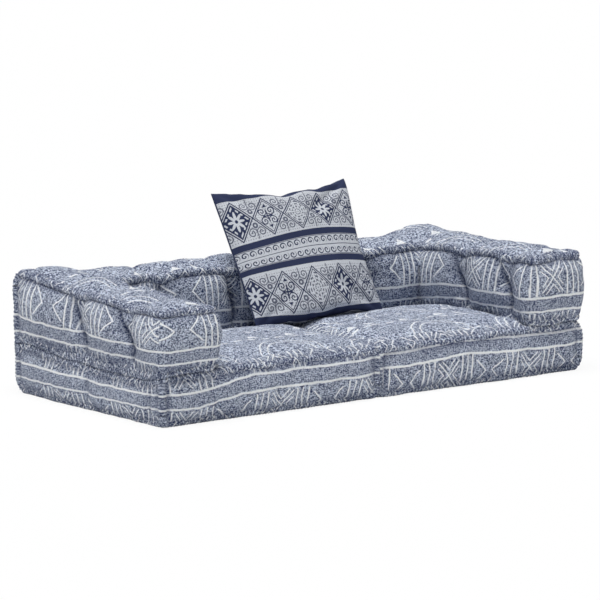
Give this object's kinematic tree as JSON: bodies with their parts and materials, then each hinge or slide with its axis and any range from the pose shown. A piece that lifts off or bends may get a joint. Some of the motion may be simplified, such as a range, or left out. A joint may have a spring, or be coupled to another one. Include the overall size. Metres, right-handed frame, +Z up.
{
  "type": "modular sofa",
  "caption": "Low floor sofa of mirrored corner modules, each a seat mattress with a tufted L-shaped arm and back in patterned cotton, with a loose throw pillow.",
  "frame": {"origin": "on the floor, under the middle of the whole sofa", "axes": "+Z up, +X along the sofa to the right as seen from its front, +Y from the front to the back"},
  "size_m": [1.6166, 0.756, 0.5418],
  "materials": {
    "mudcloth_cotton": "coarse heathered weave with a mudcloth style pattern",
    "roll_cotton": "coarse weave gathered by whip stitches",
    "core_fibre": "felted cotton and fibre block",
    "twine": "waxed twine",
    "printed_cotton": "plain weave with a printed pattern",
    "plain_cotton": "plain weave",
    "fibre_fill": "loose fibre in a thin inner case"
  },
  "bodies": {
    "left_module": {"left_seat_cover": "mudcloth_cotton", "left_seat_core": "core_fibre", "left_seat_top_roll": "roll_cotton", "left_seat_bottom_roll": "roll_cotton", "left_seat_corner_rolls": "roll_cotton", "left_backrest_cover": "mudcloth_cotton", "left_backrest_core": "core_fibre", "left_backrest_top_roll": "roll_cotton", "left_backrest_bottom_roll": "roll_cotton", "left_backrest_corner_rolls": "roll_cotton", "left_backrest_tuft_ties": "twine"},
    "right_module": {"right_seat_cover": "mudcloth_cotton", "right_seat_core": "core_fibre", "right_seat_top_roll": "roll_cotton", "right_seat_bottom_roll": "roll_cotton", "right_seat_corner_rolls": "roll_cotton", "right_backrest_cover": "mudcloth_cotton", "right_backrest_core": "core_fibre", "right_backrest_top_roll": "roll_cotton", "right_backrest_bottom_roll": "roll_cotton", "right_backrest_corner_rolls": "roll_cotton", "right_backrest_tuft_ties": "twine"},
    "throw_pillow": {"pillow_front_panel": "printed_cotton", "pillow_back_panel": "plain_cotton", "pillow_insert": "fibre_fill"}
  },
  "joints": [
    {"name": "module_part_slide", "type": "slide", "parent": "left_module", "child": "right_module", "axis": [1, 0, 0], "range_m": [0, 0.8]},
    {"name": "pillow_lift", "type": "slide", "parent": "right_module", "child": "throw_pillow", "axis": [0, 0, 1], "range_m": [0, 0.5]}
  ]
}
